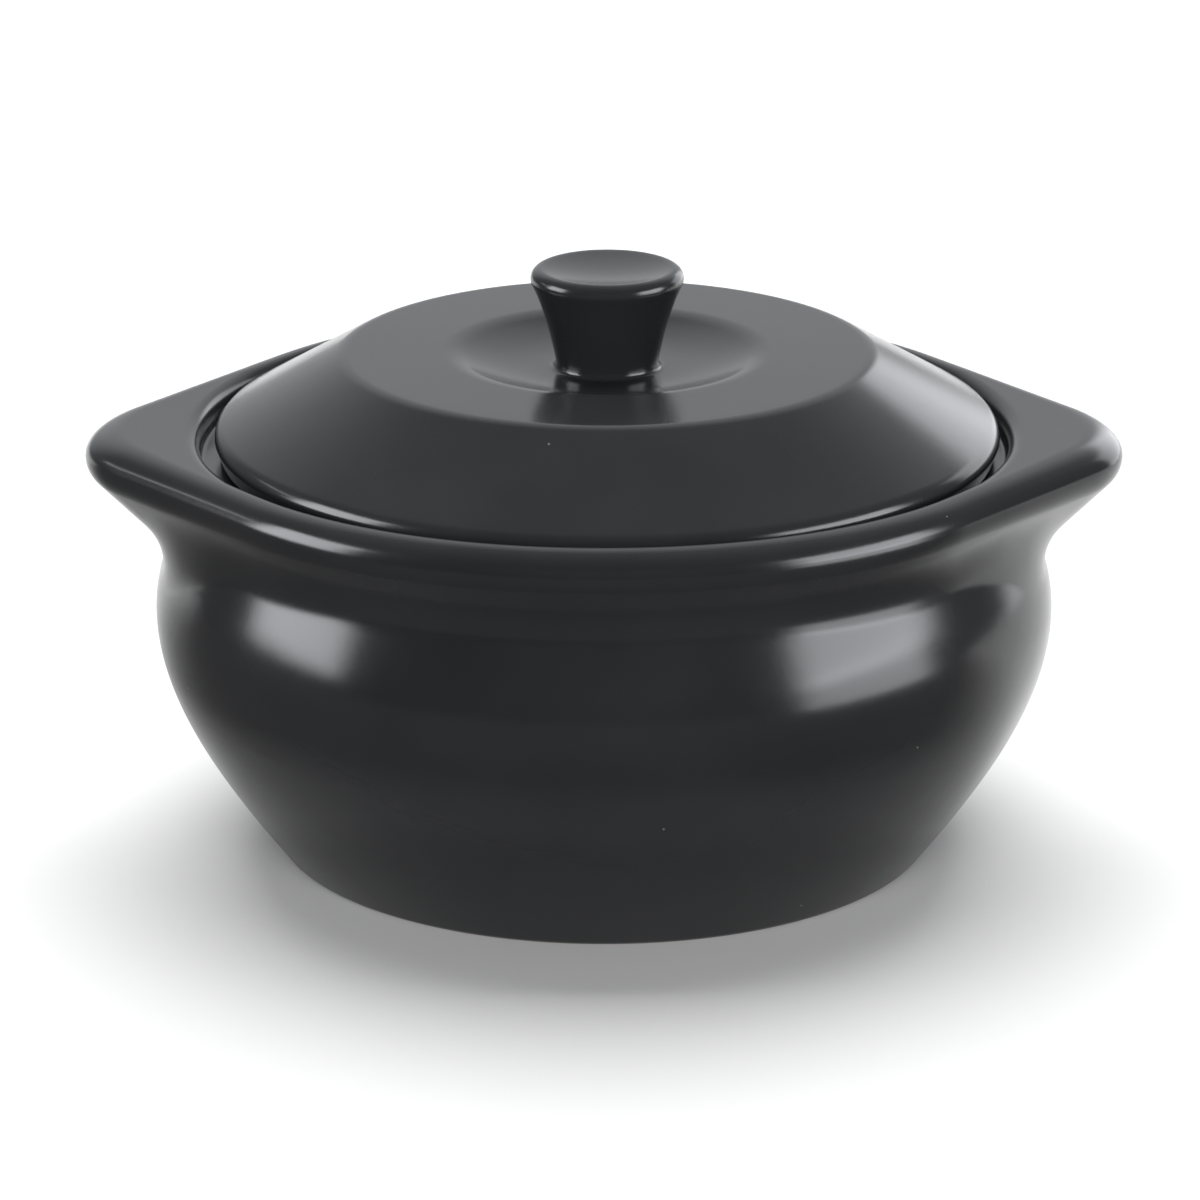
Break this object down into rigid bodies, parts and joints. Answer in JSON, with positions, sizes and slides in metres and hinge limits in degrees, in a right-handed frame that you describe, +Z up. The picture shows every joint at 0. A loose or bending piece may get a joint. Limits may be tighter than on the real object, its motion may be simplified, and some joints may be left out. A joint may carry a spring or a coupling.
{
  "type": "mini casserole dish",
  "caption": "Small round glazed stoneware casserole: bulged bowl, rolled rim drawn out into lug handles, and an inset lift-off lid with a shallow recess and a flared knob.",
  "frame": {"origin": "under the middle of the base, on the table that the dish stands on", "axes": "+X along the line through both lugs, +Z up the axis of the bowl"},
  "size_m": [0.144, 0.125, 0.0823],
  "materials": {
    "dish_glaze": "satin",
    "lid_glaze": "satin"
  },
  "bodies": {
    "dish": {"dish": "dish_glaze"},
    "lid": {"lid": "lid_glaze"}
  },
  "joints": [
    {"name": "lid_lift", "type": "slide", "parent": "dish", "child": "lid", "axis": [0, 0, 1], "range_m": [0, 0.1]}
  ]
}
